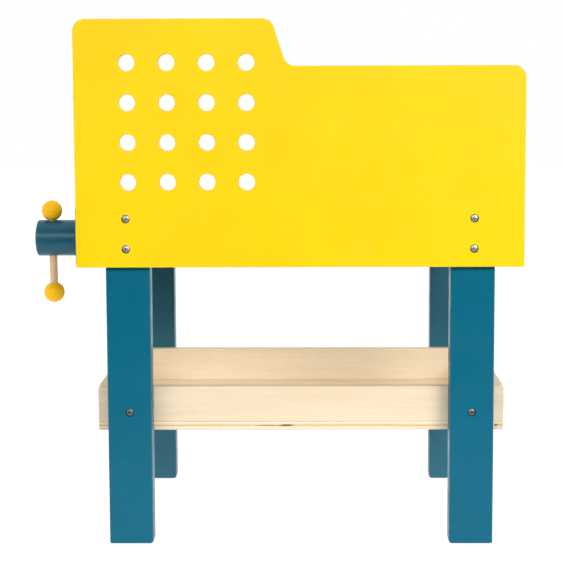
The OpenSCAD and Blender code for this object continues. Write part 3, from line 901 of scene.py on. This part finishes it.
def add_vise_screw():
    """One turned piece: thread, neck, the groove for the pins, and the tenon inside the head."""
    core = THREAD_R - THREAD_DEPTH
    start_x, end_x = SCREW_X + THREAD_PITCH, JAW_X - THREAD_PITCH
    run_out = THREAD_PITCH / 2
    profile = [(0, 0)] + rounded_end(core, 0, SCREW_CORNER, -1)
    count = round((end_x - start_x) / THREAD_PITCH * THREAD_RINGS)
    for i in range(count + 1):
        x = i * (end_x - start_x) / count
        fade = min(1, x / run_out, (end_x - start_x - x) / run_out)
        full = thread_radius(x)
        profile.append((lambda angle, full=full, fade=fade: core + (full(angle) - core) * fade,
                        start_x + x - SCREW_X))
    mid = (JAW_X + JAW_OUTER_X) / 2 - SCREW_X
    neck, head = JAW_X - SCREW_X, HEAD_X - SCREW_X
    for r0, r1, height in ((core, THREAD_R, neck), (THREAD_R, GROOVE_R, mid - GROOVE_W / 2),
                           (GROOVE_R, THREAD_R, mid + GROOVE_W / 2), (THREAD_R, TENON_R, head)):
        profile += [(r0, height), (r1, height)]
    end = TENON_END_X - SCREW_X
    profile += rounded_end(TENON_R, end, TENON_CORNER, 1) + [(0, end)]
    bm = bmesh.new()
    turn(bm, profile, along_x((SCREW_X, VISE_Y, VISE_Z)))
    dress(solid("vise_screw_piece", bm), timber("vise_screw_wood", BEECH, "X", 8),
          "vise_screw", "screw", sharp=60)


def tapped_bore():
    """The screw's own shape a little larger, to be taken out of the vise block."""
    bm = bmesh.new()
    start, end = BLOCK_X - MM, BLOCK_OUTER_X + MM
    count = round((end - start) / THREAD_PITCH * THREAD_RINGS)
    profile = []
    for i in range(count + 1):
        x = start + i * (end - start) / count
        profile.append((thread_radius(x - SCREW_X, THREAD_GAP), x - start))
    turn(bm, profile, along_x((start, VISE_Y, VISE_Z)))
    return bm


def add_vise_block():
    """The fixed jaw, with its tapped bore and the guide rods' holes."""
    holes = [circle(y, z, GUIDE_R + GUIDE_GAP, 48) for y, z in guide_rod_places()]
    board("vise_block", "YZ", BLOCK_RIM, timber("vise_block_wood", WORKTOP_WOOD, "Y", 9),
          holes=holes, extra_cut=tapped_bore())


def add_vise_jaw():
    """The moving jaw with its guide rods and the two pins that hold the screw in it."""
    pins_y0, pins_y1 = span("screw_retaining_pins", 1)
    pin_ys = (pins_y0 + PIN_R, pins_y1 - PIN_R)
    pin_x = middle("screw_retaining_pins", 0)
    pin_low, pin_high = span("screw_retaining_pins", 2)
    jaw_low = span("vise_jaw", 2)[0]
    pin_holes, pins, rods = bmesh.new(), bmesh.new(), bmesh.new()
    for y in pin_ys:
        place = Matrix.Translation((pin_x, y, 0))
        turn(pin_holes, [(0, jaw_low - MM), (PIN_R + PIN_EASE, jaw_low - MM),
                         (PIN_R + PIN_EASE, jaw_low), (PIN_R, jaw_low + PIN_EASE),
                         (PIN_R, pin_low + MM), (0, pin_low + MM)], place, 32)
        rod(pins, PIN_R, pin_low, pin_high, PIN_EASE, place)
    for y, z in guide_rod_places():
        rod(rods, GUIDE_R, *span("jaw_guide_rods", 0), 1 * MM, along_x((0, y, z)))
    board("vise_jaw", "YZ", JAW_RIM, paint("jaw_paint", DARK_TEAL, 14, 0.32, "Y", 0.35),
          radii=(JAW_R,) * 4, holes=[circle(VISE_Y, VISE_Z, THREAD_R + NECK_GAP)],
          body="jaw", extra_cut=pin_holes)
    dress(solid("jaw_guide_rods_piece", rods), timber("guide_rod_wood", BEECH, "X", 10),
          "jaw_guide_rods", "jaw")
    dress(solid("screw_retaining_pins_piece", pins), steel("pin_steel"),
          "screw_retaining_pins", "jaw")


def add_vise_head():
    """The turning head: a cylinder with a slightly domed end and a hole across it."""
    length, flat_r = HEAD_END_X - HEAD_X, HEAD_R - HEAD_CORNER
    shares = [1 - step / HEAD_DOME_STEPS for step in range(1, HEAD_DOME_STEPS + 1)]
    bm = bmesh.new()
    turn(bm, [(0, 0)] + rounded_end(HEAD_R, 0, 1 * MM, -1)
         + rounded_end(HEAD_R, length - HEAD_DOME, HEAD_CORNER, 1)
         + [(flat_r * share, length - HEAD_DOME * share ** 2) for share in shares],
         along_x((HEAD_X, VISE_Y, VISE_Z)), 96)
    hole = bmesh.new()
    flare_r = BAR_HOLE_R + BAR_HOLE_FLARE
    flare = [(BAR_HOLE_R, HEAD_R - BAR_HOLE_FLARE), (flare_r, HEAD_R + 0.2 * MM),
             (flare_r, HEAD_R + CUT_MARGIN), (0, HEAD_R + CUT_MARGIN)]
    turn(hole, [(r, -z) for r, z in flare[::-1]] + flare,
         Matrix.Translation((BAR_X, VISE_Y, VISE_Z)), 48)
    piece = solid("vise_head_piece", bm)
    cut(piece, hole)
    dress(piece, paint("head_paint", DARK_TEAL, 15, 0.3, "X", 0.35), "vise_head", "screw", 0)


def add_handle():
    """The loose bar, which leans a little in its hole, and the ball glued on each end."""
    lean = Matrix.Translation((BAR_X, VISE_Y, VISE_Z)) @ Matrix.Rotation(BAR_LEAN, 4, "Y")
    bar = bmesh.new()
    rod(bar, BAR_R, BALL_HEIGHTS["lower_ball"] - BAR_INTO_BALL,
        BALL_HEIGHTS["upper_ball"] + BAR_INTO_BALL, 0.8 * MM, lean)
    dress(solid("handle_bar_piece", bar), timber("handle_bar_wood", BEECH, "Z", 11),
          "handle_bar", "handle")
    gloss = paint("ball_gloss", ORANGE, 16, 0.36, level=0.25, peel=0.006 * MM)
    open_angle = math.asin((BAR_R + BALL_HOLE_EASE) / BALL_R)
    rim = BALL_R * math.cos(open_angle)
    profile = ([(0, -BALL_R)] + arc(0, 0, BALL_R, -QUARTER, QUARTER - open_angle, 32)[1:]
               + [(BAR_R + 0.2 * MM, rim + 0.05 * MM), (BAR_R, rim - 0.5 * MM), (BAR_R, 0),
                  (0, 0)])
    for node, height in BALL_HEIGHTS.items():
        facing_bar = Matrix.Rotation(math.pi, 4, "X") if height > 0 else Matrix()
        bm = bmesh.new()
        turn(bm, profile, lean @ Matrix.Translation((0, 0, height)) @ facing_bar)
        dress(solid(node + "_piece", bm), gloss, node, "handle")


def dress_dowels():
    """The dowels inside the joints keep their CAD shape."""
    for seed, (node, along) in enumerate((("worktop_dowels", "Z"), ("front_apron_dowels", "X"))):
        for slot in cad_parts[node].material_slots:
            slot.material = timber(node + "_wood", BEECH, along, 17 + seed)


add_camera()
add_floor()
add_lighting()
add_bench_boards()
add_tray()
add_screws()
add_vise_screw()
add_vise_block()
add_vise_jaw()
add_vise_head()
add_handle()
dress_dowels()
